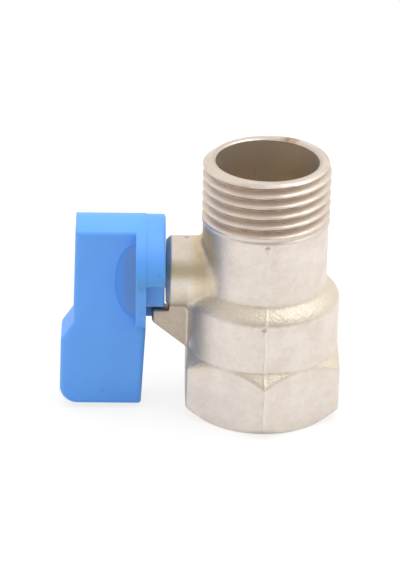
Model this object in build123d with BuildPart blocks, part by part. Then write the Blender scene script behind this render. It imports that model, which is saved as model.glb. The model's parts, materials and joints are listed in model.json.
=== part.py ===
from build123d import *

import os

os.makedirs("parts", exist_ok=True)

# Mini ball valve, female by male, with a moulded lever. Millimetres.
# The origin is the centre of the female end face and +Z runs up the pipe axis to the male mouth.
# The stem axis leaves the pipe axis along -X, and the lever hangs down in the open position.

# Pipe thread G 1/2: the plain walls stand at the thread's outermost and innermost diameters
thread_major_dia = 20.955
thread_minor_dia = 18.631

# Body: forged and turned outside
body_height = 44.0
hex_across_flats = 25.4
hex_corner_radius = 0.7
hex_foot_dia = 24.8
hex_foot_chamfer = 1.5
ledge_foot_height = 9.4
ledge_height = 11.3
barrel_dia = 25.2
barrel_edge_radius = 1.5
shoulder_foot_drop = 3.4
shoulder_top_drop = 1.6
shoulder_crease_radius = 0.6
neck_dia = 20.6
male_thread_length = 10.0
male_thread_chamfer = 0.55

# Body: stem boss and stop lug
stem_height = 23.8
boss_dia = 11.8
boss_reach = 16.2
boss_end_chamfer = 0.75
boss_root_radius = 0.9
lug_thickness = 2.8
lug_reach = 18.45
lug_tip_depth = 2.2
lug_root_height = 10.2
lug_edge_radius = 0.4

# Body: waterway
socket_depth = 11.0
socket_lead = 1.0
passage_dia = 9.0
mouth_step = 0.45
mouth_depth = 8.0
mouth_lead = 0.25

# Ball, seats and their retainer
ball_dia = 14.0
port_dia = 8.6
port_edge = 0.3
seat_bore_dia = 9.2
seat_lip_dia = 11.8
seat_back = 0.3
retainer_step = 0.6
retainer_thickness = 4.0
retainer_thread_run = 1.0
retainer_slot_width = 2.4
retainer_slot_depth = 1.6

# Stem, its washer and its rings
stem_dia = 6.0
collar_dia = 8.0
collar_thickness = 1.3
collar_lift = 0.5
tang_thickness = 2.4
tang_width = 5.6
slot_depth = 1.6
washer_thickness = 0.5
groove_width = 1.3
groove_depth = 0.8
groove_land = 1.0
square_size = 4.2
square_length = 5.3

# Handle
hub_dia = 19.0
core_dia = 12.0
skirt_gap = 0.15
skirt_length = 3.1
skirt_step = 0.12
skirt_rim_radius = 0.5
core_recess = 0.2
flange_thickness = 1.7
scoop_depth = 1.0
scoop_reach = 3.4
scoop_span = 13.4
scoop_edge_radius = 0.5
paddle_thickness = 8.2
paddle_reach = 31.0
paddle_corner_radius = 0.6
waist_reach = 31.45
waist_height = 15.7
knee_reach = 33.5
knee_height = 12.7
knee_radius = 1.5
lever_length = 23.05
lever_reach = 33.75
lever_corner_radius = 3.0
lever_base_reach = 20.15
lever_base_radius = 0.4
lever_edge_radius = 0.9
lever_wall = 1.9
rib_thickness = 1.5

# Handle screw
screw_dia = 3.0
screw_length = 8.0
screw_seat_thickness = 2.0
screw_head_dia = 5.6
screw_head_height = 2.1
screw_head_round = 1.1
screw_recess_dia = 6.2
screw_tip_room = 0.4
cross_width = 0.8
cross_length = 3.0
cross_depth = 1.1

# Clearances
running_fit = 0.05
socket_fit = 0.05
screw_hole_fit = 0.2
tapped_fit = 0.03
seat_fit = 0.05
ring_fit = 0.03
stop_play = 0.15
lug_gap = 0.6
ball_room = 0.4

# Bores that step up round the ball
cavity_dia = ball_dia + 2 * ball_room
retainer_dia = cavity_dia + 2 * retainer_step
mouth_dia = retainer_dia + 2 * mouth_step

# Heights on the pipe axis
shoulder_foot_height = stem_height - shoulder_foot_drop
shoulder_top_height = stem_height - shoulder_top_drop
pocket_floor = stem_height - ball_dia / 2 - seat_back
retainer_seat = stem_height + ball_dia / 2 + seat_back
male_thread_start = body_height - male_thread_length
mouth_floor = body_height - mouth_depth
lug_top = stem_height - core_dia / 2 - lug_gap
lever_tip = stem_height - lever_length

# Distances from the pipe axis along the stem
slot_floor = ball_dia / 2 - slot_depth
collar_face = ball_dia / 2 + collar_lift
collar_back = collar_face + collar_thickness
washer_face = collar_back + running_fit
counterbore_floor = washer_face + washer_thickness
first_groove = counterbore_floor + groove_land
second_groove = first_groove + groove_width + groove_land
square_start = boss_reach + skirt_gap / 2
stem_end = square_start + square_length
skirt_face = boss_reach + skirt_gap
flange_face = skirt_face + skirt_length
flange_back = flange_face + flange_thickness
core_face = skirt_face + core_recess
screw_seat = stem_end + screw_seat_thickness

# Local X of the stem plane points to the front (-Y), local Y up, and its normal out along -X
stem_plane = Plane(origin=(0, 0, stem_height), x_dir=(0, -1, 0), z_dir=(-1, 0, 0))
stem_axis = Axis((0, 0, stem_height), (-1, 0, 0))
stem_bore_dia = stem_dia + 2 * running_fit

# Body, forged and turned in one piece
with BuildPart() as body:
    # Hexagon with corners to the front and back, turned at the foot and sloped off at the ledge
    hex_corner_reach = hex_across_flats / 3**0.5
    with BuildSketch(Plane.XY) as hex_outline:
        RegularPolygon(hex_across_flats / 2, 6, major_radius=False, rotation=30)
        fillet(hex_outline.vertices(), hex_corner_radius)
    extrude(amount=ledge_height)
    with BuildSketch(Plane.XZ):
        with BuildLine():
            Polyline(
                (0, 0),
                (hex_foot_dia / 2, 0),
                (hex_corner_reach, hex_foot_chamfer),
                (hex_corner_reach, ledge_foot_height),
                (barrel_dia / 2, ledge_height),
                (0, ledge_height),
                close=True,
            )
        make_face()
    revolve(axis=Axis.Z, mode=Mode.INTERSECT)

    # Barrel, rounded shoulder and neck
    with BuildSketch(Plane.XZ):
        with BuildLine():
            forged = FilletPolyline(
                (barrel_dia / 2, ledge_foot_height),
                (barrel_dia / 2, shoulder_foot_height),
                (neck_dia / 2, shoulder_top_height),
                (neck_dia / 2, body_height - male_thread_chamfer),
                radius=[barrel_edge_radius, shoulder_crease_radius],
            )
            Polyline(
                forged @ 1,
                (0, body_height - male_thread_chamfer),
                (0, ledge_foot_height),
                forged @ 0,
            )
        make_face()
    revolve(axis=Axis.Z)

    # Stem boss, blended into the neck and shoulder
    with BuildSketch(stem_plane):
        Circle(boss_dia / 2)
    extrude(amount=boss_reach)
    fillet(body.edges(Select.NEW), boss_root_radius)
    chamfer(body.edges().filter_by(GeomType.CIRCLE).sort_by(Axis.X)[0], boss_end_chamfer)

    # Blank of the male thread
    with BuildSketch(Plane.XZ):
        with BuildLine():
            Polyline(
                (0, male_thread_start),
                (thread_major_dia / 2, male_thread_start),
                (thread_major_dia / 2, body_height - male_thread_chamfer),
                (thread_major_dia / 2 - male_thread_chamfer, body_height),
                (0, body_height),
                close=True,
            )
        make_face()
    revolve(axis=Axis.Z)

    # Stop lug: a web under the boss that reaches past its end into the handle
    with BuildSketch(Plane.XZ) as lug_outline:
        with BuildLine():
            Polyline(
                (-neck_dia / 2, stem_height - boss_dia / 4),
                (-boss_reach + boss_end_chamfer, stem_height - boss_dia / 4),
                (-boss_reach + boss_end_chamfer, lug_top),
                (-lug_reach, lug_top),
                (-lug_reach, lug_top - lug_tip_depth),
                (-barrel_dia / 2, lug_root_height),
                (-neck_dia / 2, lug_root_height),
                close=True,
            )
        make_face()
        fillet(lug_outline.vertices().group_by(Axis.X)[0], lug_edge_radius)
    extrude(amount=lug_thickness / 2, both=True)

    # Waterway from the female mouth to the male mouth
    with BuildSketch(Plane.XZ):
        with BuildLine():
            Polyline(
                (0, 0),
                (thread_minor_dia / 2 + socket_lead, 0),
                (thread_minor_dia / 2, socket_lead),
                (thread_minor_dia / 2, socket_depth),
                (passage_dia / 2, socket_depth),
                (passage_dia / 2, pocket_floor),
                (cavity_dia / 2, pocket_floor),
                (cavity_dia / 2, retainer_seat - retainer_thread_run),
                (retainer_dia / 2, retainer_seat - retainer_thread_run),
                (retainer_dia / 2, mouth_floor),
                (mouth_dia / 2, mouth_floor),
                (mouth_dia / 2, body_height - mouth_lead),
                (mouth_dia / 2 + mouth_lead, body_height),
                (0, body_height),
                close=True,
            )
        make_face()
    revolve(axis=Axis.Z, mode=Mode.SUBTRACT)

    # Stem bore, with a counterbore inside for the collar and its washer
    with BuildSketch(stem_plane):
        Circle(stem_bore_dia / 2)
    extrude(amount=boss_reach, mode=Mode.SUBTRACT)
    with BuildSketch(stem_plane):
        Circle(collar_dia / 2 + running_fit)
    extrude(amount=counterbore_floor, mode=Mode.SUBTRACT)
body.part.label = "body"
export_step(body.part, "parts/body.step")

# Ball, with its port along the pipe axis and its slot across it
with BuildPart() as ball:
    with Locations((0, 0, stem_height)):
        Sphere(ball_dia / 2)
        Hole(port_dia / 2)
    chamfer(ball.edges().filter_by(GeomType.CIRCLE), port_edge)
    with BuildSketch(stem_plane.offset(slot_floor)):
        Rectangle(ball_dia, tang_thickness + 2 * socket_fit)
    extrude(amount=slot_depth, mode=Mode.SUBTRACT)
ball.part.label = "ball"
export_step(ball.part, "parts/ball.step")

# Seats: rings with a hollow spherical face towards the ball
seat_dia = cavity_dia - 2 * seat_fit
seat_face_radius = ball_dia / 2 + seat_fit
seat_height = stem_height - pocket_floor - (seat_face_radius**2 - (seat_lip_dia / 2) ** 2) ** 0.5
with BuildPart() as lower_seat:
    with BuildSketch(Plane.XZ):
        with Locations((seat_bore_dia / 2, pocket_floor)):
            Rectangle((seat_dia - seat_bore_dia) / 2, seat_height, align=(Align.MIN, Align.MIN))
        with Locations((0, stem_height)):
            Circle(seat_face_radius, mode=Mode.SUBTRACT)
    revolve(axis=Axis.Z)
lower_seat.part.label = "lower_seat"
export_step(lower_seat.part, "parts/lower_seat.step")

with BuildPart() as upper_seat:
    mirror(lower_seat.part, about=Plane.XY.offset(stem_height))
upper_seat.part.label = "upper_seat"
export_step(upper_seat.part, "parts/upper_seat.step")

# Seat retainer: a ring screwed down from the male mouth, with two slots for its key
with BuildPart() as seat_retainer:
    with BuildSketch(Plane.XY.offset(retainer_seat)):
        Circle(retainer_dia / 2 - tapped_fit)
        Circle(seat_bore_dia / 2, mode=Mode.SUBTRACT)
    extrude(amount=retainer_thickness)
    chamfer(seat_retainer.edges().group_by(Axis.Z)[-1], mouth_lead)
    with BuildSketch(Plane.XY.offset(retainer_seat + retainer_thickness)):
        Rectangle(retainer_slot_width, retainer_dia)
    extrude(amount=-retainer_slot_depth, mode=Mode.SUBTRACT)
seat_retainer.part.label = "seat_retainer"
export_step(seat_retainer.part, "parts/seat_retainer.step")

# Stem: tang in the ball's slot, collar inside the body, two ring grooves, square and tapped hole
with BuildPart() as stem:
    with BuildSketch(stem_plane.offset(slot_floor + socket_fit)):
        Rectangle(tang_width, tang_thickness)
    extrude(amount=collar_face - slot_floor - socket_fit)
    with BuildSketch(stem_plane.offset(collar_face)):
        Circle(collar_dia / 2)
    extrude(amount=collar_thickness)
    with BuildSketch(stem_plane.offset(collar_back)):
        Circle(stem_dia / 2)
    extrude(amount=square_start - collar_back)
    for groove_start in (first_groove, second_groove):
        with BuildSketch(stem_plane.offset(groove_start)):
            Circle(stem_dia / 2)
            Circle(stem_dia / 2 - groove_depth, mode=Mode.SUBTRACT)
        extrude(amount=groove_width, mode=Mode.SUBTRACT)
    with BuildSketch(stem_plane.offset(square_start)):
        Rectangle(square_size, square_size)
    extrude(amount=square_length)
    with BuildSketch(stem_plane.offset(stem_end)):
        Circle(screw_dia / 2 + tapped_fit)
    extrude(amount=screw_seat_thickness - screw_length - screw_tip_room, mode=Mode.SUBTRACT)
stem.part.label = "stem"
export_step(stem.part, "parts/stem.step")

# Thrust washer on the counterbore's floor, behind the collar
with BuildPart() as stem_thrust_washer:
    with BuildSketch(stem_plane.offset(washer_face)):
        Circle(collar_dia / 2)
        Circle(stem_bore_dia / 2, mode=Mode.SUBTRACT)
    extrude(amount=washer_thickness)
stem_thrust_washer.part.label = "stem_thrust_washer"
export_step(stem_thrust_washer.part, "parts/stem_thrust_washer.step")

# O-rings in the stem's grooves
groove_floor_radius = stem_dia / 2 - groove_depth
ring_mean_radius = (groove_floor_radius + stem_bore_dia / 2) / 2
ring_section_radius = (stem_bore_dia / 2 - groove_floor_radius) / 2 - ring_fit
with BuildPart() as inner_o_ring:
    with BuildSketch(Plane.XZ):
        with Locations((-first_groove - groove_width / 2, stem_height + ring_mean_radius)):
            Circle(ring_section_radius)
    revolve(axis=stem_axis)
inner_o_ring.part.label = "inner_o_ring"
export_step(inner_o_ring.part, "parts/inner_o_ring.step")

with BuildPart() as outer_o_ring:
    with BuildSketch(Plane.XZ):
        with Locations((-second_groove - groove_width / 2, stem_height + ring_mean_radius)):
            Circle(ring_section_radius)
    revolve(axis=stem_axis)
outer_o_ring.part.label = "outer_o_ring"
export_step(outer_o_ring.part, "parts/outer_o_ring.step")

# Handle: lever paddle, hub flange, core and stop sector in one moulding
with BuildPart() as handle:
    # Paddle: its end view is a slab with a round top, its side view is the lever's outline
    with BuildSketch(stem_plane.offset(flange_face)):
        Circle(hub_dia / 2)
        Rectangle(paddle_thickness, hub_dia, mode=Mode.INTERSECT)
        Rectangle(paddle_thickness, lever_length, align=(Align.CENTER, Align.MAX))
    extrude(amount=lever_reach - flange_face)
    with BuildSketch(Plane.XZ):
        with BuildLine():
            outer_edge = FilletPolyline(
                (-flange_face, stem_height + hub_dia / 2),
                (-paddle_reach, stem_height + hub_dia / 2),
                (-waist_reach, waist_height),
                (-knee_reach, knee_height),
                (-lever_reach, lever_tip),
                (-lever_base_reach, lever_tip),
                (-flange_face, stem_height - hub_dia / 2),
                radius=[
                    paddle_corner_radius,
                    knee_radius,
                    knee_radius,
                    lever_corner_radius,
                    lever_base_radius,
                ],
            )
            Line(outer_edge @ 1, outer_edge @ 0)
        make_face()
    extrude(amount=paddle_thickness, both=True, mode=Mode.INTERSECT)
    side_edges = handle.faces().filter_by(Axis.Y).edges().group_by(Axis.X)
    fillet(side_edges[:-1], lever_edge_radius)

    # Finger scoops in both sides, each cut by a round-edged wheel whose axis lies in front of the paddle.
    # The wheel's profile is drawn on its far side, which keeps the seam of its surface off the scoop.
    wheel_radius = ((scoop_span / 2) ** 2 + scoop_depth**2) / (2 * scoop_depth)
    for side in (-1, 1):
        wheel_y = side * (paddle_thickness / 2 - scoop_depth + wheel_radius)
        wheel_edge_y = wheel_y + side * (wheel_radius - scoop_depth)
        with BuildSketch(Plane.XY.offset(stem_height)):
            with BuildLine():
                wheel_rim = ThreePointArc(
                    (-flange_back - scoop_reach, wheel_edge_y),
                    (-flange_back, wheel_y + side * wheel_radius),
                    (-flange_back + scoop_reach, wheel_edge_y),
                )
                Polyline(
                    wheel_rim @ 1,
                    (-flange_back + scoop_reach, wheel_y),
                    (-flange_back - scoop_reach, wheel_y),
                    wheel_rim @ 0,
                )
            make_face()
        revolve(axis=Axis((0, wheel_y, stem_height), (1, 0, 0)), mode=Mode.SUBTRACT)
        fillet(handle.edges(Select.NEW).sort_by(SortBy.LENGTH)[-1], scoop_edge_radius)

    # Flange
    with BuildSketch(stem_plane.offset(flange_face)):
        Circle(hub_dia / 2)
    extrude(amount=flange_thickness)

    # Core, and the stop sector that leaves the lug a quarter turn to run in
    with BuildSketch(stem_plane.offset(skirt_face)):
        Circle(hub_dia / 2 - skirt_step)
        with Locations((-lug_thickness / 2 - stop_play, lug_thickness / 2 + stop_play)):
            Rectangle(hub_dia, hub_dia, align=(Align.MIN, Align.MAX), mode=Mode.SUBTRACT)
    extrude(amount=skirt_length)
    rim_arcs = handle.edges().group_by(Axis.X)[-1].filter_by(GeomType.CIRCLE)
    fillet(rim_arcs.sort_by(SortBy.RADIUS)[-1], skirt_rim_radius)
    with BuildSketch(stem_plane.offset(core_face)):
        Circle(core_dia / 2)
    extrude(amount=flange_face - core_face)

    # Lever cored out from the body's side, with a rib across
    pocket_run = lever_length - lever_wall - hub_dia / 2 - rib_thickness
    pocket_length = (pocket_run - rib_thickness) / 2
    with BuildSketch(stem_plane.offset(flange_face)):
        with Locations((0, -lever_length + lever_wall + pocket_run / 2)):
            with GridLocations(0, pocket_length + rib_thickness, 1, 2):
                Rectangle(paddle_thickness - 2 * lever_wall, pocket_length)
    extrude(amount=knee_reach - lever_wall - flange_face, mode=Mode.SUBTRACT)

    # Square socket for the stem, screw hole and screw recess
    with BuildSketch(stem_plane.offset(skirt_face)):
        Rectangle(square_size + 2 * socket_fit, square_size + 2 * socket_fit)
    extrude(amount=stem_end - skirt_face, mode=Mode.SUBTRACT)
    with BuildSketch(stem_plane.offset(stem_end)):
        Circle(screw_dia / 2 + screw_hole_fit)
    extrude(amount=screw_seat_thickness, mode=Mode.SUBTRACT)
    with BuildSketch(stem_plane.offset(screw_seat)):
        Circle(screw_recess_dia / 2)
    extrude(amount=lever_reach - screw_seat, mode=Mode.SUBTRACT)
handle.part.label = "handle"
export_step(handle.part, "parts/handle.step")

# Handle screw: rounded head with a cross recess
with BuildPart() as handle_screw:
    with BuildSketch(stem_plane.offset(screw_seat)):
        Circle(screw_head_dia / 2)
    extrude(amount=screw_head_height)
    fillet(handle_screw.edges().sort_by(Axis.X)[0], screw_head_round)
    with BuildSketch(stem_plane.offset(screw_seat + screw_head_height)):
        Rectangle(cross_length, cross_width)
        Rectangle(cross_width, cross_length)
    extrude(amount=-cross_depth, mode=Mode.SUBTRACT)
    with BuildSketch(stem_plane.offset(screw_seat)):
        Circle(screw_dia / 2)
    extrude(amount=-screw_length)
handle_screw.part.label = "handle_screw"
export_step(handle_screw.part, "parts/handle_screw.step")
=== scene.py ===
import json
import math

import bmesh
import bpy
import numpy as np
from mathutils import Matrix, Vector

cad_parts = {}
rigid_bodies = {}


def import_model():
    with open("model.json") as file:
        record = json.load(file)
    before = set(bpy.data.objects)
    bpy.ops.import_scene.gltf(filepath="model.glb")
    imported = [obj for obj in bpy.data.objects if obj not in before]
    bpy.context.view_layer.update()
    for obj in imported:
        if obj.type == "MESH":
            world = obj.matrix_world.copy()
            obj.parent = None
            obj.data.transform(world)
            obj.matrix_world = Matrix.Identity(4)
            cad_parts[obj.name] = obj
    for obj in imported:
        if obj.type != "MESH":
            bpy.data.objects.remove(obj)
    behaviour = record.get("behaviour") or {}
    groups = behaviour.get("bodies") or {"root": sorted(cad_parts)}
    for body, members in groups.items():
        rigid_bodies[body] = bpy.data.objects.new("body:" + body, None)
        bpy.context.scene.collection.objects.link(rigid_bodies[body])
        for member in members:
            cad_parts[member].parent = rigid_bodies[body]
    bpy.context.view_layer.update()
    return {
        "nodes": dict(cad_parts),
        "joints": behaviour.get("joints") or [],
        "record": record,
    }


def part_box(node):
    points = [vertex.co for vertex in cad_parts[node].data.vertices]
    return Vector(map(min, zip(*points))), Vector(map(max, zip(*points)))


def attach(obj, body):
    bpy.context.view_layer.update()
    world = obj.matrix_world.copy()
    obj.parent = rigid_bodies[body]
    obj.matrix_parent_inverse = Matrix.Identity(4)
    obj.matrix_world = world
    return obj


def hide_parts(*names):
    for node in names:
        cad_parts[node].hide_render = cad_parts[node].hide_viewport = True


# mini ball valve: the forged body is drawn here with its real threads, the other pieces are the CAD nodes
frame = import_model()
mm = 0.001
turn = 2 * math.pi
front = 3 * turn / 4  # angle round the pipe axis of the side that the camera sees
mounts = {m["name"]: m for m in frame["record"]["mounts"]}
stemHeight = frame["joints"][0]["pos_m"][2] / mm
mergeDistance = 1e-8  # metres, points nearer than this become one
print("frame loaded:", len(frame["nodes"]), "nodes")


# corners of a CAD node in millimetres
def nodeBox(name):
    low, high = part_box(name)
    return np.array(low) / mm, np.array(high) / mm


# smaller of two arrays, with the crossing rounded by a parabola k wide
def softMin(a, b, k):
    h = np.clip(0.5 + 0.5 * (b - a) / k, 0, 1)
    return b + (a - b) * h - k * h * (1 - h)


# larger of two arrays, rounded in the same way
def softMax(a, b, k):
    return -softMin(-a, -b, k)


# 0 before a, 1 after b, a cubic between them
def ease(a, b, x):
    t = np.clip((x - a) / (b - a), 0, 1)
    return t * t * (3 - 2 * t)


# places along a line, in stretches of (end, step) one after another
def runs(start, *stretches):
    starts = [start] + [end for end, step in stretches]
    return np.concatenate([np.arange(low, end, step) for low, (end, step) in zip(starts, stretches)])


# grid of points (rows, columns, xyz) from coordinates that may be given for rows or for columns alone
def gridPoints(x, y, z):
    return np.stack(np.broadcast_arrays(x, y, z), axis=-1)


# grid turned about the stem axis, from distances out from the pipe axis, radii and angles
def stemPoints(out, radius, angle):
    return gridPoints(-out, radius * np.cos(angle), stemHeight + radius * np.sin(angle))


# grid of points in millimetres to a closed object: columns wrap round, rows wrap round too where asked,
# and a row drawn on one point becomes a pole
def gridObject(name, points, wrapRows=False):
    rows, columns = points.shape[:2]
    r = np.arange(rows if wrapRows else rows - 1)[:, None]
    c = np.arange(columns)[None, :]
    nextR, nextC = (r + 1) % rows, (c + 1) % columns
    corners = [r * columns + c, r * columns + nextC, nextR * columns + nextC, nextR * columns + c]
    quads = np.stack(np.broadcast_arrays(*corners), axis=-1).reshape(-1, 4)
    mesh = bpy.data.meshes.new(name)
    mesh.vertices.add(rows * columns)
    mesh.vertices.foreach_set("co", (points * mm).astype(np.float32).ravel())
    mesh.loops.add(quads.size)
    mesh.loops.foreach_set("vertex_index", quads.astype(np.int32).ravel())
    mesh.polygons.add(len(quads))
    mesh.polygons.foreach_set("loop_start", np.arange(0, quads.size, 4, dtype=np.int32))
    mesh.update(calc_edges=True)
    work = bmesh.new()
    work.from_mesh(mesh)
    bmesh.ops.remove_doubles(work, verts=work.verts[:], dist=mergeDistance)
    bmesh.ops.recalc_face_normals(work, faces=work.faces[:])
    work.to_mesh(mesh)
    work.free()
    made = bpy.data.objects.new(name, mesh)
    bpy.context.scene.collection.objects.link(made)
    return made


# joins or cuts closed objects into the first one and leaves a plain mesh
def combine(target, tools):
    for tool, operation in tools:
        step = target.modifiers.new(tool.name, "BOOLEAN")
        step.solver = "MANIFOLD"
        step.operation = operation
        step.object = tool
    bpy.context.view_layer.update()
    graph = bpy.context.evaluated_depsgraph_get()
    mesh = bpy.data.meshes.new_from_object(target.evaluated_get(graph))
    target.modifiers.clear()
    target.data = mesh
    for tool, operation in tools:
        bpy.data.objects.remove(tool)


# pipe thread at both ends, G 1/2, right-hand; mm
pipeThread = {
    "pitch": 25.4 / 14, "depth": 1.162,
    "crest": mounts["male_thread"]["dims"]["r_mm"],
    "sharpHeight": 1.5, "round": 0.3,        # sharp form and width of its rounding, in thread depths
    "start": 33.4, "startHalf": 0.08,        # foot of the male thread, and half the width of its step
    "runOut": (0.1, 1.5),                    # heights above the start over which the last turn fades
    "chamfer": 0.55, "chamferRound": 0.12,
    "frontTurn": 0.69,                       # sets which turn faces the front
    "maleRows": 16, "femaleRows": 12,        # grid rows to a turn
    "rowsFrom": 0.3, "lastRow": 0.03,        # first row under the start, and none nearer the rim
}


# 55 degree form over the turns: a zigzag half as high again as the thread, rounded to 1 at its crest and
# to 0 at its root
def threadForm(turns):
    t = pipeThread
    zigzag = t["sharpHeight"] * np.abs(2 * (turns % 1) - 1) - (t["sharpHeight"] - 1) / 2
    return softMin(softMax(zigzag, 0.0, t["round"]), 1.0, t["round"])


# outside of the forging, millimetres from the pipe axis or heights above the female end
forging = {
    "top": nodeBox("body")[1][2],
    "flatReach": mounts["spanner_flat"]["pos_m"][0] / mm,
    "sides": 6, "cornerPower": 85,           # the higher the power, the sharper the hexagon's corners
    "footReach": 12.4, "footSlope": 1.1, "footBlend": 0.35, "footRound": 0.3,
    "ledgeTop": 11.3, "ledgeSlope": 1.086, "ledgeBlend": 0.6,
    "barrelReach": 12.6, "barrelBlend": 0.2,
    "shoulderFoot": 20.4, "shoulderSlope": 1.25, "shoulderRound": 1.1,
    "neckReach": 10.3, "neckBlend": 0.5,
    "skinStart": (0.4, 1.6), "skinEnd": (1.2, 0.2),   # where the skin begins, and ends below the thread
    "seamHeight": 0.2, "seamWidth": 0.17,    # flash left where the two dies met
    "seamUneven": 0.3, "seamBeat": 1.3,      # share by which its height varies, radians per mm
    "seamWander": 0.07, "seamWaves": ((1.0, 0.9, 0.6), (0.5, 2.3, 0.0)),   # share, radians per mm, lead
    # slow unevenness of the skin: share, then periods round and radians per mm of two sines
    "skinHeight": 0.02, "skinWaves": ((1.0, 3, 0.55, -2, 0.8), (0.6, 7, -0.9, 4, 1.7)),
    # height, and mm along from the front seam
    "nicks": {"upperNick": (33.0, 0.0), "lowerNick": (19.3, -0.3)},
    "nickDepth": 0.16, "nickSize": 0.24,
    # grid rows from the foot up as (end, step), closer where the outline bends
    "rows": ((0.3, 0.05), (1.5, 0.2), (7.7, 0.5), (11.9, 0.13), (19.0, 0.45), (23.2, 0.1)),
    "neckStep": 0.45, "columns": 256, "cornerPack": 0.6,
    "sharpAngle": 40,                        # degrees, edges sharper than this aren't smoothed
}


# turned outline over the height: barrel, rounded shoulder, neck
def turnedReach(z):
    f = forging
    slope = f["barrelReach"] - f["shoulderSlope"] * (z - f["shoulderFoot"])
    return softMax(softMin(f["barrelReach"], slope, f["shoulderRound"]), f["neckReach"], f["neckBlend"])


# place on the turned outline, so many millimetres along from the front seam
def frontPlace(z, along):
    reach = turnedReach(z)
    angle = front + along / reach
    return reach * math.cos(angle), reach * math.sin(angle), z


# distance from the die seam at front or back, in seam widths: the way round to it less its slow wander
def fromSeam(reach, theta, z):
    f = forging
    offSeam = (theta % (turn / 2)) - turn / 4
    wander = f["seamWander"] * sum(share * np.sin(rate * z + lead) for share, rate, lead in f["seamWaves"])
    return (reach * offSeam - wander) / f["seamWidth"]


# male thread over angle and height: its form cut into the crest, faded at the foot, chamfered at the mouth
def maleReach(theta, z):
    t = pipeThread
    form = threadForm(z / t["pitch"] - theta / turn + t["frontTurn"])
    fadeFrom, fadeTo = t["runOut"]
    fade = ease(t["start"] + fadeFrom, t["start"] + fadeTo, z)
    thread = t["crest"] - fade * t["depth"] * (1 - form)
    return softMin(thread, t["crest"] - t["chamfer"] + forging["top"] - z, t["chamferRound"])


# whole outside over angle and height: a hexagon (norm of three pairs of flats) trimmed by a foot cone and
# a ledge cone, joined to the turned outline, with seam, waves and nicks, and the thread on top
def outerReach(theta, z):
    f, t = forging, pipeThread
    power = f["cornerPower"]
    flats = [np.abs(np.cos(theta - turn * k / f["sides"])) ** power for k in range(f["sides"] // 2)]
    hexagon = f["flatReach"] / sum(flats) ** (1 / power)
    hexagon = softMin(hexagon, f["footReach"] + f["footSlope"] * z, f["footBlend"])
    hexagon = softMin(hexagon, f["barrelReach"] + f["ledgeSlope"] * (f["ledgeTop"] - z), f["ledgeBlend"])
    reach = softMax(hexagon, turnedReach(z), f["barrelBlend"])
    footDrop = np.clip(f["footRound"] - z, 0, None)
    reach = reach - f["footRound"] + np.sqrt(f["footRound"] ** 2 - footDrop**2)
    # die seam at front and back, and slow waves, both only on the forged skin
    fadeFrom, fadeTo = f["skinEnd"]
    skin = ease(*f["skinStart"], z) * (1 - ease(t["start"] - fadeFrom, t["start"] - fadeTo, z))
    seam = np.exp(-(fromSeam(reach, theta, z) ** 2))
    seam = seam * (1 - f["seamUneven"] + f["seamUneven"] * np.sin(f["seamBeat"] * z))
    waves = sum(share * np.sin(a * theta + b * z) * np.sin(c * theta + d * z)
                for share, a, b, c, d in f["skinWaves"])
    reach = reach + skin * (f["seamHeight"] * seam + f["skinHeight"] * waves)
    fromFront = (theta % turn) - front
    for nickZ, nickAlong in f["nicks"].values():
        offNick = ((z - nickZ) ** 2 + (reach * fromFront - nickAlong) ** 2) / f["nickSize"] ** 2
        reach = reach - f["nickDepth"] * np.exp(-offNick)
    onThread = ease(t["start"] - t["startHalf"], t["start"] + t["startHalf"], z)
    return reach + onThread * (maleReach(theta, z) - reach)


# bores, from the inner pieces that they hold
seatLow, seatHigh = nodeBox("lower_seat")
retainerLow, retainerHigh = nodeBox("seat_retainer")
washerLow, washerHigh = nodeBox("stem_thrust_washer")
ringHigh = nodeBox("outer_o_ring")[1]
looseFit, tightFit, retainerRoom = 0.05, 0.03, 1.0  # mm, clearances and free depth under the retainer
waterway = {
    "mouthReach": 8.45, "mouthLead": 0.25, "mouthFloor": 36.0,
    "retainerReach": retainerHigh[0] + tightFit, "retainerFoot": retainerLow[2] - retainerRoom,
    "cavityReach": seatHigh[0] + looseFit, "pocketFloor": seatLow[2],
    "passageReach": 4.5,
    "socketDepth": 11.0, "socketCrest": mounts["female_thread"]["dims"]["r_mm"],
    "socketFade": (2.2, 0.8),                # heights under the socket's floor over which the groove fades
    "socketLead": 1.0, "leadRound": 0.1,
}


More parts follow.
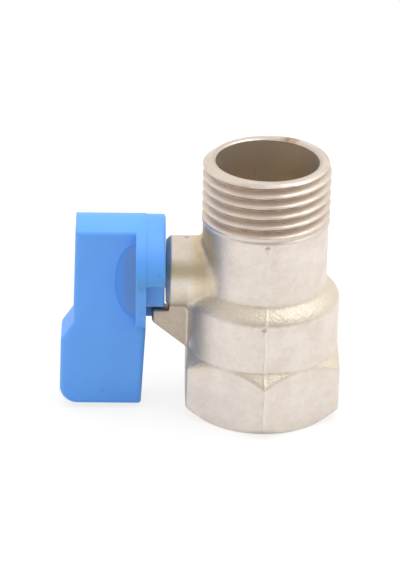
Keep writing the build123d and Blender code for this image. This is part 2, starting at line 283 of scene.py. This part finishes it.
# shell of the body: the outside, then the waterway as a turned profile from the male mouth down,
# then the female thread, whose groove is cut outwards, faded at its floor and opened by the lead cone
def makeShell():
    f, t, w = forging, pipeThread, waterway
    top = f["top"]
    even = np.arange(f["columns"]) * turn / f["columns"]
    corner = turn / f["sides"] / 2  # columns are packed closer at the hexagon's corners
    theta = (even - f["cornerPack"] * np.sin(f["sides"] * (even - corner)) / f["sides"])[None, :]
    threadFoot = t["start"] - t["rowsFrom"]
    threadRows = [(threadFoot, f["neckStep"]), (top - t["lastRow"], t["pitch"] / t["maleRows"])]
    outerZ = np.append(runs(0, *f["rows"], *threadRows), top)[:, None]
    profile = np.array([
        (top, w["mouthReach"] + w["mouthLead"]), (top - w["mouthLead"], w["mouthReach"]),
        (w["mouthFloor"], w["mouthReach"]), (w["mouthFloor"], w["retainerReach"]),
        (w["retainerFoot"], w["retainerReach"]), (w["retainerFoot"], w["cavityReach"]),
        (w["pocketFloor"], w["cavityReach"]), (w["pocketFloor"], w["passageReach"]),
        (w["socketDepth"], w["passageReach"]),
    ])
    socketZ = np.arange(w["socketDepth"], t["lastRow"], -t["pitch"] / t["femaleRows"])
    socketZ = np.append(socketZ, 0.0)[:, None]
    groove = 1 - threadForm(socketZ / t["pitch"] - theta / turn)
    fadeFrom, fadeTo = w["socketFade"]
    fade = 1 - ease(w["socketDepth"] - fadeFrom, w["socketDepth"] - fadeTo, socketZ)
    socketR = w["socketCrest"] + t["depth"] * groove * fade
    socketR = softMax(socketR, w["socketCrest"] + w["socketLead"] - socketZ, w["leadRound"])
    innerR = np.broadcast_to(profile[:, 1:], (len(profile), f["columns"]))
    shellZ = np.concatenate([outerZ, profile[:, :1], socketZ])
    shellR = np.concatenate([outerReach(theta, outerZ), innerR, socketR])
    points = gridPoints(shellR * np.cos(theta), shellR * np.sin(theta), shellZ)
    return gridObject("forged_body", points, wrapRows=True)


# stem boss along -X, distances out from the pipe axis
stemBoss = {
    "reach": 5.9, "end": 16.2, "chamfer": 0.75, "chamferRound": 0.2,
    "root": 7.45,       # starts inside the neck's wall
    "blend": 1.15,      # width of the smooth root
    "skirt": 7.0,       # the root's flare stops here, inside the wall
    "rows": ((9.0, 0.12), (15.2, 0.2)), "endStep": 0.06, "columns": 120,
    "trials": 240, "trialsFrom": 0.1,        # radii tried, from this far under the chamfer
}


# boss radius over distance out and angle: where the smaller of the distances to the boss's and to the
# neck's surface, with a soft crossing, first comes to nothing
def makeBoss():
    b = stemBoss
    out = np.append(runs(b["root"], *b["rows"], (b["end"], b["endStep"])), b["end"])[:, None, None]
    angle = (np.arange(b["columns"]) * turn / b["columns"])[None, :, None]
    radii = np.linspace(b["reach"] - b["chamfer"] - b["trialsFrom"], b["skirt"], b["trials"])
    ownReach = softMin(b["reach"], b["reach"] + b["end"] - b["chamfer"] - out, b["chamferRound"])
    toNeck = np.hypot(out, radii * np.cos(angle)) - turnedReach(stemHeight + radii * np.sin(angle))
    gap = softMin(radii - ownReach, toNeck, b["blend"])
    outside = gap > 0
    after = np.where(outside.any(axis=2), outside.argmax(axis=2), b["trials"] - 1)
    before = np.maximum(after - 1, 0)
    gapAfter = np.take_along_axis(gap, after[..., None], 2)[..., 0]
    gapBefore = np.take_along_axis(gap, before[..., None], 2)[..., 0]
    tiny = 1e-9  # keeps the division sound where no radius is outside
    share = np.clip(-gapBefore / np.maximum(gapAfter - gapBefore, tiny), 0, 1)
    bossR = radii[before] + share * (radii[after] - radii[before])
    # both ends close on the axis
    bossR = np.concatenate([0 * bossR[:1], bossR, 0 * bossR[:1]])
    bossOut = np.concatenate([out[:1, :, 0], out[:, :, 0], out[-1:, :, 0]])
    return gridObject("boss", stemPoints(bossOut, bossR, angle[..., 0]))


# stop lug under the boss
stopLug = {
    "halfWidth": 1.4, "reach": 18.45, "top": 17.2, "tipDepth": 2.2,
    "webEnd": 15.45, "webTop": 19.6, "webStep": (0.15, 0.25),   # web that fills the corner under the boss
    "rootReach": 12.6, "rootHeight": 10.2, "start": 11.0,
    "edge": 0.4, "cornerShare": 0.98,        # rounding of tip and edges, and its share in the section
    "flare": 0.12, "flareRun": 0.5,          # soft root on the barrel
    "rows": ((15.2, 0.15), (15.9, 0.06)), "endStep": 0.3, "tipRows": 7, "cornerPoints": 6,
}


# lug: a rounded rectangle carried along -X, its foot on a slope, drawn in at the tip by a quarter circle
def makeLug():
    g = stopLug
    tip = np.sin(np.linspace(0, turn / 4, g["tipRows"]))
    straight = runs(g["start"], *g["rows"], (g["reach"] - g["edge"], g["endStep"]))
    out = np.concatenate([straight, g["reach"] - g["edge"] * (1 - tip)])[:, None]
    drawIn = g["edge"] - np.sqrt(g["edge"] ** 2 - np.clip(out - g["reach"] + g["edge"], 0, g["edge"]) ** 2)
    flare = g["flare"] * np.clip(1 - (out - g["rootReach"]) / g["flareRun"], 0, 1) ** 2
    stepBefore, stepAfter = g["webStep"]
    pastWeb = ease(g["webEnd"] - stepBefore, g["webEnd"] + stepAfter, out)
    lugTop = g["webTop"] + pastWeb * (g["top"] - g["webTop"]) - drawIn
    slope = (g["top"] - g["tipDepth"] - g["rootHeight"]) / (g["reach"] - g["rootReach"])
    lugFoot = g["rootHeight"] + slope * np.clip(out - g["rootReach"], 0, None) + drawIn - flare
    lugHalf = g["halfWidth"] - drawIn + flare
    # section: four quarter circles, each in its corner
    quarter = np.linspace(0, turn / 4, g["cornerPoints"])
    angle = np.concatenate([quarter + k * turn / 4 for k in range(4)])[None, :]
    sideSign = np.repeat([1, -1, -1, 1], g["cornerPoints"])[None, :]
    upSign = np.repeat([1, 1, -1, -1], g["cornerPoints"])[None, :]
    corner = g["edge"] * g["cornerShare"]
    lugY = sideSign * (lugHalf - corner) + corner * np.cos(angle)
    lugZ = np.where(upSign > 0, lugTop - corner, lugFoot + corner) + corner * np.sin(angle)
    points = gridPoints(-out, lugY, lugZ)
    # both ends close on the middle of their section
    middle = np.broadcast_to(points.mean(axis=1, keepdims=True), points.shape)
    return gridObject("lug", np.concatenate([middle[:1], points, middle[-1:]]))


# stem bore with the collar's counterbore, distances out from the pipe axis
stemBore = {
    "start": 6.0, "end": 16.8, "columns": 72,
    "collarReach": washerHigh[1] + looseFit, "counterFloor": -washerLow[0],
    "reach": ringHigh[1] + tightFit,
}


# bore: a stepped profile turned about the stem axis
def makeStemBore():
    s = stemBore
    profile = np.array([
        (s["start"], 0), (s["start"], s["collarReach"]), (s["counterFloor"], s["collarReach"]),
        (s["counterFloor"], s["reach"]), (s["end"], s["reach"]), (s["end"], 0),
    ])
    angle = (np.arange(s["columns"]) * turn / s["columns"])[None, :]
    return gridObject("bore", stemPoints(profile[:, :1], profile[:, 1:], angle))


# painted shade along the left foot of the die seam, and a painted highlight on its crest
seamMarks = {
    "from": (0.8, 2.0), "to": (18.5, 20.0),  # heights over which they begin and end
    "reach": 12.0,                           # they are only this far out, on hexagon and barrel
    "uneven": 0.35, "beat": 2.1,             # share by which they vary, radians per mm
    "marks": {"seamDirt": (-1.3, 0.17), "seamHighlight": (0.2, 0.8)},   # place in seam widths, strength
}


# keeps each mark as a value at every point: a bell over the distance from its place beside the seam
def markSeam(target):
    s = seamMarks
    spread = np.empty(len(target.data.vertices) * 3, dtype=np.float32)
    target.data.vertices.foreach_get("co", spread)
    x, y, z = spread.reshape(-1, 3).T / mm
    reach = np.hypot(x, y)
    across = fromSeam(reach, np.arctan2(y, x), z)
    onSkin = ease(*s["from"], z) * (1 - ease(*s["to"], z)) * (reach > s["reach"])
    uneven = onSkin * (1 - s["uneven"] + s["uneven"] * np.sin(s["beat"] * z))
    for name, (offset, amount) in s["marks"].items():
        strength = amount * uneven * np.exp(-((across - offset) ** 2))
        values = target.data.attributes.new(name, "FLOAT", "POINT")
        values.data.foreach_set("value", strength.astype(np.float32))


body = makeShell()
print("shell:", len(body.data.vertices), "points")
combine(body, [(makeBoss(), "UNION"), (makeLug(), "UNION"), (makeStemBore(), "DIFFERENCE")])
markSeam(body)
body.data.shade_smooth()
body.data.set_sharp_from_angle(angle=math.radians(forging["sharpAngle"]))
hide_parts("body")
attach(body, "valve_body")
print("forged body:", len(body.data.polygons), "faces")


# sRGB hex to linear colour with alpha
def linear(hexColour):
    srgb = np.array([int(hexColour[i:i + 2], 16) for i in (1, 3, 5)]) / 255
    rgb = np.where(srgb <= 0.04045, srgb / 12.92, ((srgb + 0.055) / 1.055) ** 2.4)
    return tuple(float(c) for c in rgb) + (1.0,)


# adds one node: inputs are values or the sockets that they come from, stops are a ramp's rising places and
# grey levels, the rest are the node's own settings
def addNode(tree, kind, inputs=None, stops=None, **settings):
    node = tree.nodes.new("ShaderNode" + kind)
    for key, value in settings.items():
        setattr(node, key, value)
    if stops:
        ramp = node.color_ramp.elements
        ramp.remove(ramp[1])
        for i, (place, level) in enumerate(stops):
            element = ramp.new(place) if i else ramp[0]
            element.position = place
            element.color = (level, level, level, 1)
    for key, value in (inputs or {}).items():
        if isinstance(value, bpy.types.NodeSocket):
            tree.links.new(value, node.inputs[key])
        else:
            node.inputs[key].default_value = value
    return node


# new node material with its shader, and the object's own coordinates in millimetres
def startMaterial(name, **shader):
    made = bpy.data.materials.new(name)
    made.use_nodes = True
    made.node_tree.nodes.clear()
    tree = made.node_tree
    principled = addNode(tree, "BsdfPrincipled", shader)
    addNode(tree, "OutputMaterial", {"Surface": principled.outputs[0]})
    place = addNode(tree, "TexCoord").outputs["Object"]
    place = addNode(tree, "VectorMath", {0: place, "Scale": 1 / mm}, operation="SCALE").outputs[0]
    return made, tree, principled, place


# measures and masks of a material, each named in a table and worked out from ones before it:
# noise: a pattern of this size in mm, its detail and roughness
# off: how far from a level; below: 1 under a limit, 0 over it; all, any: product or largest of several
# curve: straight lines through (value, level) stops
# ramp: straight from 0 at one value to 1 at another, or between the two levels that follow
# spot: a ramp over the distance from a place
def addMasks(tree, masks, table):
    for name, (kind, source, *rest) in table.items():
        mask = masks[source]
        if kind == "noise":
            size, detail, roughness = (*rest, 0.5)[:3]
            mask = addNode(tree, "TexNoise", {"Vector": mask, "Scale": 1 / size, "Detail": detail,
                                              "Roughness": roughness}).outputs[0]
        elif kind == "off":
            mask = addNode(tree, "Math", {0: mask, 1: rest[0]}, operation="SUBTRACT").outputs[0]
            mask = addNode(tree, "Math", {0: mask}, operation="ABSOLUTE").outputs[0]
        elif kind == "below":
            mask = addNode(tree, "Math", {0: mask, 1: rest[0]}, operation="LESS_THAN").outputs[0]
        elif kind in ("all", "any"):
            join = "MULTIPLY" if kind == "all" else "MAXIMUM"
            for other in rest:
                mask = addNode(tree, "Math", {0: mask, 1: masks[other]}, operation=join).outputs[0]
        elif kind == "curve":
            first, last = rest[0][0], rest[-1][0]
            stops = [((value - first) / (last - first), level) for value, level in rest]
            share = addNode(tree, "MapRange", {"Value": mask, "From Min": first, "From Max": last})
            mask = addNode(tree, "ValToRGB", {0: share.outputs[0]}, stops=stops).outputs[0]
        else:
            if kind == "spot":
                at, *rest = rest
                mask = addNode(tree, "VectorMath", {0: mask, 1: at}, operation="DISTANCE").outputs["Value"]
            start, end, low, high = (*rest, 0.0, 1.0)[:4]
            mask = addNode(tree, "MapRange", {"Value": mask, "From Min": start, "From Max": end,
                                              "To Min": low, "To Max": high}).outputs[0]
        masks[name] = mask


# colour over colour: each layer covers what is under it where its mask is 1
def addLayers(tree, masks, paint, first, *layers):
    colour = paint[first]
    for mask, over in layers:
        # sockets of a colour mix: 0 the share, 6 and 7 the colours, 2 the result
        mix = addNode(tree, "Mix", {0: masks[mask], 6: colour, 7: paint[over]}, data_type="RGBA")
        colour = mix.outputs[2]
    return colour


# nickel plate over a shot-blasted brass forging: satin and warm white, yellower where the plate is thin,
# with painted shade in the thread's roots, the bore and on the stop lug, a painted reflection band along
# the boss, and a painted shade and highlight beside the die seam; a fine grain scatters the light
threadStart, rim = pipeThread["start"], forging["top"]
nickDirt = (0.48, 0.0, 0.0, 0.7)  # from 0.48 mm away to the middle, dirt goes from nothing to 0.7
stainDirt = (0.6, 0.0, 0.0, 0.7)
plate = {
    "colours": {
        # some colours are painted light: shade in the thread's roots, the bore and on the lug, a reflection
        # band on the boss, shade and highlight at the seam
        "white": "#F2EAE5", "cloud": "#E5DBD3", "thin": "#EBE4D3", "lugShade": "#C8BAAB", "root": "#D0C2B5",
        "warm": "#F2E9E0", "stain": "#E6D6B2", "wallTint": "#DCC8A0", "bore": "#DED7D2",
        "highlight": "#FCF7F1", "dirt": "#6B5A4B", "bare": "#A9854E",
    },
    "raggedSize": 0.48, "ragged": 1.2,       # mm, the uneven outline of stains
    "thinRough": 0.14,                       # added roughness where the plate is thin
    "peelStrength": 0.12, "peelHeight": 0.06, "grainHeight": 0.12,   # heights in mm
    "masks": {
        "patchNoise": ("noise", "place", 1.3, 2.0),
        "cloudNoise": ("noise", "place", 4.0, 5.0, 0.75),
        "speckNoise": ("noise", "place", 0.7, 3.0),
        "grain": ("noise", "place", 0.42, 2.0),              # drawn coarser than real shot marks, to show
        "peel": ("noise", "place", 1.6, 1.0),
        "patch": ("ramp", "patchNoise", 0.3, 0.6, 0.25, 1.0),
        "clouds": ("ramp", "cloudNoise", 0.35, 0.65),
        # thin plate: by height, thinnest on the shoulder, and on the hexagon's ledge, known by its cone
        "thinAtHeight": ("curve", "z", (0.0, 0.25), (2.0, 0.1), (19.6, 0.05), (20.6, 0.75), (22.2, 0.75),
                         (23.0, 0.15), (30.0, 0.05), (rim, 0.0)),
        "offLedge": ("off", "cone", forging["barrelReach"] + forging["ledgeSlope"] * forging["ledgeTop"]),
        "onLedge": ("ramp", "offLedge", 0.3, 0.1, 0.0, 0.7),
        "thin": ("any", "thinAtHeight", "onLedge"),
        "worn": ("all", "thin", "patch"),
        # warmer on the side of the stem boss
        "toBoss": ("ramp", "facing", -0.65, -0.92),
        "belowThread": ("ramp", "z", threadStart, threadStart - 0.4),
        "aboveFlats": ("ramp", "z", 8.6, 10.0),
        "mottled": ("ramp", "patch", 0.0, 1.0, 0.35, 1.0),
        "bossSide": ("all", "toBoss", "belowThread", "aboveFlats", "mottled"),
        # painted reflection: a yellow band runs along the boss at one height
        "pastWall": ("ramp", "x", -10.5, -12.5),
        "fromBand": ("off", "z", stemHeight + 2.6),
        "offBand": ("ramp", "fromBand", 0.4, 1.8),
        "offReflectedBand": ("all", "pastWall", "offBand"),
        # painted shade on the stop lug, under the boss
        "pastBarrel": ("ramp", "x", -12.5, -12.8),
        "underBoss": ("ramp", "z", stemHeight + 1.2, stemHeight - 6.0),
        "inLugShade": ("all", "pastBarrel", "underBoss"),
        # roots of the male thread, and the bore, which get painted shade
        "inThread": ("ramp", "z", threadStart - 0.1, threadStart + 0.2),
        "belowRim": ("ramp", "z", rim - 0.5, rim - 0.9),
        "rootDepth": ("ramp", "reach", 10.3, 9.45),
        "outerWall": ("ramp", "reach", 9.0, 9.2),
        "inBore": ("ramp", "reach", 9.2, 9.0),
        "inRoot": ("all", "inThread", "rootDepth", "outerWall", "belowRim"),
        # dirt in the roots, in the nicks and in two stains, and painted shade along the seam
        "speck": ("ramp", "speckNoise", 0.64, 0.72, 0.0, 0.5),
        "specks": ("all", "speck", "inRoot"),
        "upperNick": ("spot", "ragged", frontPlace(*forging["nicks"]["upperNick"]), *nickDirt),
        "lowerNick": ("spot", "ragged", frontPlace(*forging["nicks"]["lowerNick"]), *nickDirt),
        "bossStain": ("spot", "ragged", (-12.9, 0.6, 29.67), *stainDirt),
        "threadStain": ("spot", "ragged", (-0.25, -9.8, 35.7), *stainDirt),
        "dirtAndSeamShade": ("any", "seamDirt", "specks", "upperNick", "lowerNick", "bossStain", "threadStain"),
        # bare brass where the plate is knocked off the rim
        "bareSpot": ("spot", "place", (4.1, 8.6, rim), 2.0, 1.0, 0.0, 0.85),
        "onRim": ("ramp", "z", rim - 0.7, rim - 0.3),
        "bareRim": ("all", "bareSpot", "patch", "onRim"),
        # strength of the grain on forged and on machined faces, and roughness over the grain
        "grainShare": ("ramp", "inThread", 0.0, 1.0, 0.34, 0.08),
        "grainRough": ("ramp", "grain", 0.3, 0.7, 0.4, 0.55),
    },
}


# the plate: what its masks measure, then the layers of colour, the roughness and the relief
def nickelPlate():
    p = plate
    made, tree, shader, place = startMaterial("nickel_on_forged_brass", Metallic=1.0)
    split = addNode(tree, "SeparateXYZ", {0: place})
    masks = {"place": place, "x": split.outputs["X"], "z": split.outputs["Z"]}
    flat = addNode(tree, "VectorMath", {0: place, 1: (1, 1, 0)}, operation="MULTIPLY").outputs[0]
    masks["reach"] = addNode(tree, "VectorMath", {0: flat}, operation="LENGTH").outputs["Value"]
    # -1 straight towards the stem boss
    masks["facing"] = addNode(tree, "Math", {0: masks["x"], 1: masks["reach"]},
                              operation="DIVIDE").outputs[0]
    # reach plus slope times height is the same all over the ledge
    masks["cone"] = addNode(tree, "Math", {0: masks["z"], 1: forging["ledgeSlope"], 2: masks["reach"]},
                            operation="MULTIPLY_ADD").outputs[0]
    # places moved a little by noise, for ragged outlines
    warp = addNode(tree, "TexNoise", {"Vector": place, "Scale": 1 / p["raggedSize"], "Detail": 1.0})
    warp = addNode(tree, "VectorMath", {0: warp.outputs["Color"], 1: (0.5,) * 3},
                   operation="SUBTRACT").outputs[0]
    masks["ragged"] = addNode(tree, "VectorMath", {0: warp, 1: (p["ragged"],) * 3, 2: place},
                              operation="MULTIPLY_ADD").outputs[0]
    for name in seamMarks["marks"]:
        masks[name] = addNode(tree, "Attribute", attribute_name=name).outputs["Fac"]
    addMasks(tree, masks, p["masks"])
    paint = {name: linear(colour) for name, colour in p["colours"].items()}
    # the boss tint holds a painted reflection band; the layers below add painted shade on the lug, in the
    # roots and the bore, and a painted shade and highlight at the seam
    paint["bossTint"] = addLayers(
        tree, masks, paint, "wallTint", ("pastWall", "stain"), ("offReflectedBand", "warm"))
    colour = addLayers(
        tree, masks, paint, "white", ("clouds", "cloud"), ("bossSide", "bossTint"), ("inLugShade", "lugShade"),
        ("worn", "thin"), ("inRoot", "root"), ("inBore", "bore"), ("seamHighlight", "highlight"), ("dirtAndSeamShade", "dirt"),
        ("bareRim", "bare"))
    rough = addNode(tree, "Math", {0: masks["thin"], 1: p["thinRough"], 2: masks["grainRough"]},
                    operation="MULTIPLY_ADD").outputs[0]
    grained = addNode(tree, "Math", {0: masks["thin"], 1: masks["grainShare"]}, operation="ADD").outputs[0]
    bump = addNode(tree, "Bump", {"Height": masks["peel"], "Strength": p["peelStrength"],
                                  "Distance": p["peelHeight"] * mm}).outputs[0]
    bump = addNode(tree, "Bump", {"Height": masks["grain"], "Strength": grained,
                                  "Distance": p["grainHeight"] * mm, "Normal": bump}).outputs[0]
    for socket, value in {"Base Color": colour, "Roughness": rough, "Normal": bump}.items():
        tree.links.new(value, shader.inputs[socket])
    return made


# ABS moulded in light blue: satin skin from an etched mould, faint mottling and scuffs, painted shade round
# the hub and painted light in the finger scoops
scoopEnd, hubFace = -24.8, -21.1  # X where the finger scoops end and where the hub begins
sideFace = 4.1                    # Y of the paddle's sides
moulding = {
    "colours": {
        # the scoops' pale colours are painted light, and the darker hub colour is painted shade
        "blue": "#579DF2", "deep": "#4C93E9", "scuff": "#84B6F4", "worn": "#64AEF8", "paleScoopLight": "#709FD7",
        "hubShade": "#4886BE", "mark": "#35608F",
    },
    "scuffTurn": (0, 0.5, 0), "scuffStretch": (1, 1, 12),   # radians, and how much finer they are along Z
    "etchStrength": 0.1, "etchHeight": 0.02,                # height in mm
    "masks": {
        "mottle": ("noise", "place", 5.0, 2.0),
        "etch": ("noise", "place", 0.3, 2.0),                # drawn coarser than a real etching, to show
        "etchRough": ("ramp", "etch", 0.3, 0.7, 0.38, 0.5),
        "scuffNoise": ("noise", "stretched", 6.0, 4.0),
        "scuffs": ("ramp", "scuffNoise", 0.7, 0.8, 0.0, 0.35),
        # finger scoops: sunk into the paddle's sides before the hub, with painted light against their
        # shading, pale at the far end and greyer well in
        "sideways": ("off", "y", 0.0),
        "sunk": ("ramp", "sideways", sideFace - 0.01, sideFace - 0.25),
        "fromStem": ("off", "rise", 0.0),
        "level": ("below", "fromStem", 6.9),
        "inScoop": ("ramp", "x", scoopEnd - 0.2, scoopEnd + 0.1),
        "beforeHub": ("below", "x", hubFace),
        "inScoopLight": ("all", "sunk", "level", "inScoop", "beforeHub"),
        "wellIn": ("ramp", "x", scoopEnd, scoopEnd + 2.2),
        # painted shade on the hub, thickest in a band just above the stem axis
        "onHub": ("ramp", "x", hubFace, hubFace + 0.3),
        "band": ("curve", "rise", (0.2, 0.3), (0.9, 0.75), (1.9, 0.75), (3.2, 0.35), (7.0, 0.0)),
        "aboveLever": ("ramp", "rise", -9.7, -9.2),
        "hubShaded": ("all", "onHub", "band", "aboveLever"),
        # small marks: place, size and strength
        "hubMark": ("spot", "place", (-17.4, -8.6, 27.0), 0.45, 0.0, 0.0, 0.5),
        "lowMark": ("spot", "place", (-26.6, -4.1, 3.5), 0.6, 0.0, 0.0, 0.22),
        "farMark": ("spot", "place", (-29.3, -4.1, 4.8), 0.5, 0.0, 0.0, 0.15),
        "marked": ("any", "hubMark", "lowMark", "farMark"),
    },
}


# the moulding: measures from the stem axis, then the layers of colour, the roughness and the relief
def blueMoulding():
    p = moulding
    made, tree, shader, place = startMaterial("abs_moulded_blue", IOR=1.53)
    fromStem = addNode(tree, "VectorMath", {0: place, 1: (0, 0, stemHeight)}, operation="SUBTRACT")
    split = addNode(tree, "SeparateXYZ", {0: fromStem.outputs[0]})
    stretched = addNode(tree, "Mapping", {"Vector": place, "Rotation": p["scuffTurn"],
                                          "Scale": p["scuffStretch"]})
    masks = {
        "place": place, "stretched": stretched.outputs[0],
        "x": split.outputs["X"], "y": split.outputs["Y"], "rise": split.outputs["Z"],
    }
    addMasks(tree, masks, p["masks"])
    paint = {name: linear(colour) for name, colour in p["colours"].items()}
    # painted light in the finger scoops, then painted shade on the hub among the layers
    paint["scoop"] = addLayers(tree, masks, paint, "worn", ("wellIn", "paleScoopLight"))
    colour = addLayers(
        tree, masks, paint, "blue", ("mottle", "deep"), ("scuffs", "scuff"), ("inScoopLight", "scoop"),
        ("hubShaded", "hubShade"), ("marked", "mark"))
    bump = addNode(tree, "Bump", {"Height": masks["etch"], "Strength": p["etchStrength"],
                                  "Distance": p["etchHeight"] * mm}).outputs[0]
    for socket, value in {"Base Color": colour, "Roughness": masks["etchRough"], "Normal": bump}.items():
        tree.links.new(value, shader.inputs[socket])
    return made


# finishes of the inner pieces: shader settings, two colours, pattern size in mm, roughness range
plainFinishes = {
    "chrome_on_brass": ({"Metallic": 1.0}, "#DADCDD", "#CFD2D4", 3.0, (0.06, 0.12)),  # mirror bright
    "ptfe_skived": ({"IOR": 1.38}, "#EEEDE8", "#E4E2DA", 0.8, (0.45, 0.6)),           # waxy white
    "brass_turned": ({"Metallic": 1.0}, "#D3B36A", "#C2A058", 0.35, (0.22, 0.36)),    # yellow, soft shine
    "nitrile_moulded": ({"IOR": 1.52}, "#17171A", "#222225", 0.4, (0.5, 0.7)),        # dull black
    "zinc_on_steel": ({"Metallic": 1.0}, "#C9CBCB", "#B9BDBD", 0.6, (0.25, 0.4)),     # grey, cloudy
}
plainRelief = {"strength": 0.08, "height": 0.02}  # of their pattern, height in mm
finishes = {"abs_moulded_blue": blueMoulding(), "nickel_on_forged_brass": nickelPlate()}
for name, (settings, light, dark, size, roughness) in plainFinishes.items():
    finishes[name], tree, shader, place = startMaterial(name, **settings)
    masks = {"place": place}
    addMasks(tree, masks, {
        "pattern": ("noise", "place", size, 2.0),
        "rough": ("ramp", "pattern", 0.3, 0.7, *roughness),
    })
    paint = {"light": linear(light), "dark": linear(dark)}
    colour = addLayers(tree, masks, paint, "light", ("pattern", "dark"))
    bump = addNode(tree, "Bump", {"Height": masks["pattern"], "Strength": plainRelief["strength"],
                                  "Distance": plainRelief["height"] * mm}).outputs[0]
    for socket, value in {"Base Color": colour, "Roughness": masks["rough"], "Normal": bump}.items():
        tree.links.new(value, shader.inputs[socket])

wears = {
    "body": "nickel_on_forged_brass", "handle": "abs_moulded_blue", "handle_screw": "zinc_on_steel",
    "ball": "chrome_on_brass", "lower_seat": "ptfe_skived", "upper_seat": "ptfe_skived",
    "stem_thrust_washer": "ptfe_skived", "seat_retainer": "brass_turned", "stem": "brass_turned",
    "inner_o_ring": "nitrile_moulded", "outer_o_ring": "nitrile_moulded",
}
for node, finish in wears.items():
    if not frame["nodes"][node].material_slots:
        frame["nodes"][node].data.materials.append(None)
    for materialSlot in frame["nodes"][node].material_slots:
        materialSlot.material = finishes[finish]
body.data.materials.clear()
body.data.materials.append(finishes[wears["body"]])
print("materials:", len(finishes))

# studio: white floor, pale walls, the darker side where the camera stands, and soft lamps
studio = {
    "floorSize": 4.0,                                 # metres
    "floor": "#F4F4F3", "floorGlow": 0.8,             # glow: share of plain white that the eye sees
    "mirrored": "#D8D8D7", "mirrorGlow": 0.4,         # the same for reflections
    "room": "#FFF9F0", "walls": 0.92, "cameraSide": 0.4,
    "wallFade": (-0.8, -0.3),                         # how far towards the camera the walls darken
    "lamps": {  # place and aim in mm, size in mm, watts
        "keyLamp": ((340, -60, 640), (0, 0, 22), 420, 1.3),
        "topLamp": ((-60, 60, 700), (-10, 0, 22), 900, 4.8),
    },
    "mirroredLamp": "keyLamp",                        # the metal shows this lamp and the room
}


# flat square of four corners in metres, with its material
def stageSheet(name, corners, material):
    mesh = bpy.data.meshes.new(name)
    mesh.from_pydata(corners, [], [(0, 1, 2, 3)])
    mesh.materials.append(material)
    made = bpy.data.objects.new(name, mesh)
    bpy.context.scene.collection.objects.link(made)


# floor paint: matt white that keeps the shadow, mixed with plain white for the eye and less for reflections
s = studio
floorPaint = bpy.data.materials.new("white_floor")
floorPaint.use_nodes = True
tree = floorPaint.node_tree
tree.nodes.clear()
ray = addNode(tree, "LightPath")
masks = {"glossy": ray.outputs["Is Glossy Ray"], "clear": ray.outputs["Is Transmission Ray"]}
addMasks(tree, masks, {"reflected": ("any", "glossy", "clear")})
tones = {"floor": linear(s["floor"]), "mirrored": linear(s["mirrored"])}
floorTone = addLayers(tree, masks, tones, "floor", ("glossy", "mirrored"))
matt = addNode(tree, "BsdfDiffuse", {"Color": floorTone}).outputs[0]
white = addNode(tree, "Emission", {"Strength": 1.0}).outputs[0]
glow = addNode(tree, "Math", {0: masks["reflected"], 1: s["mirrorGlow"]}, operation="MULTIPLY").outputs[0]
glow = addNode(tree, "Math", {0: ray.outputs["Is Camera Ray"], 1: s["floorGlow"], 2: glow},
               operation="MULTIPLY_ADD").outputs[0]
floorMix = addNode(tree, "MixShader", {0: glow, 1: matt, 2: white}).outputs[0]
addNode(tree, "OutputMaterial", {"Surface": floorMix})
half = s["floorSize"] / 2
stageSheet("floor", [(-half, -half, 0), (half, -half, 0), (half, half, 0), (-half, half, 0)], floorPaint)

world = bpy.data.worlds.new("studio_room")
bpy.context.scene.world = world
world.use_nodes = True
tree = world.node_tree
tree.nodes.clear()
away = addNode(tree, "SeparateXYZ", {0: addNode(tree, "TexCoord").outputs["Generated"]})
masks = {"away": away.outputs["Y"]}
addMasks(tree, masks, {"level": ("ramp", "away", *s["wallFade"], s["cameraSide"], s["walls"])})
sky = addNode(tree, "Background", {"Color": linear(s["room"]), "Strength": masks["level"]}).outputs[0]
addNode(tree, "OutputWorld", {"Surface": sky})

for name, (at, aim, size, watts) in s["lamps"].items():
    lamp = bpy.data.lights.new(name, "AREA")
    lamp.shape = "SQUARE"
    lamp.size = size * mm
    lamp.energy = watts
    holder = bpy.data.objects.new(name, lamp)
    holder.location = Vector(at) * mm
    holder.visible_glossy = name == s["mirroredLamp"]
    holder.rotation_euler = (Vector(aim) - Vector(at)).to_track_quat("-Z", "Y").to_euler()
    bpy.context.scene.collection.objects.link(holder)

# camera: long lens, above and a little to the left, aimed between lever and body
shot = {
    "aim": (-10.53, 0, 21.2), "distance": 450,        # mm
    "elevation": 26.5, "azimuth": 1.5, "roll": 1.2,   # degrees
    "lens": 171.8, "film": 36,                        # mm, the film's long side
    "near": 0.01, "far": 20,                          # metres, what the camera sees lies between them
}
tilt = math.radians(shot["elevation"])
side = math.radians(shot["azimuth"])
back = Vector((-math.sin(side) * math.cos(tilt), -math.cos(side) * math.cos(tilt), math.sin(tilt)))
lens = bpy.data.cameras.new("camera")
lens.lens = shot["lens"]
lens.sensor_width = shot["film"]
lens.clip_start = shot["near"]
lens.clip_end = shot["far"]
camera = bpy.data.objects.new("camera", lens)
camera.location = (Vector(shot["aim"]) + back * shot["distance"]) * mm
turned = (-back).to_track_quat("-Z", "Y").to_matrix() @ Matrix.Rotation(math.radians(shot["roll"]), 3, "Z")
camera.rotation_euler = turned.to_euler()
bpy.context.scene.collection.objects.link(camera)
bpy.context.scene.camera = camera
bpy.context.scene.view_settings.view_transform = "Standard"
print("studio ready")
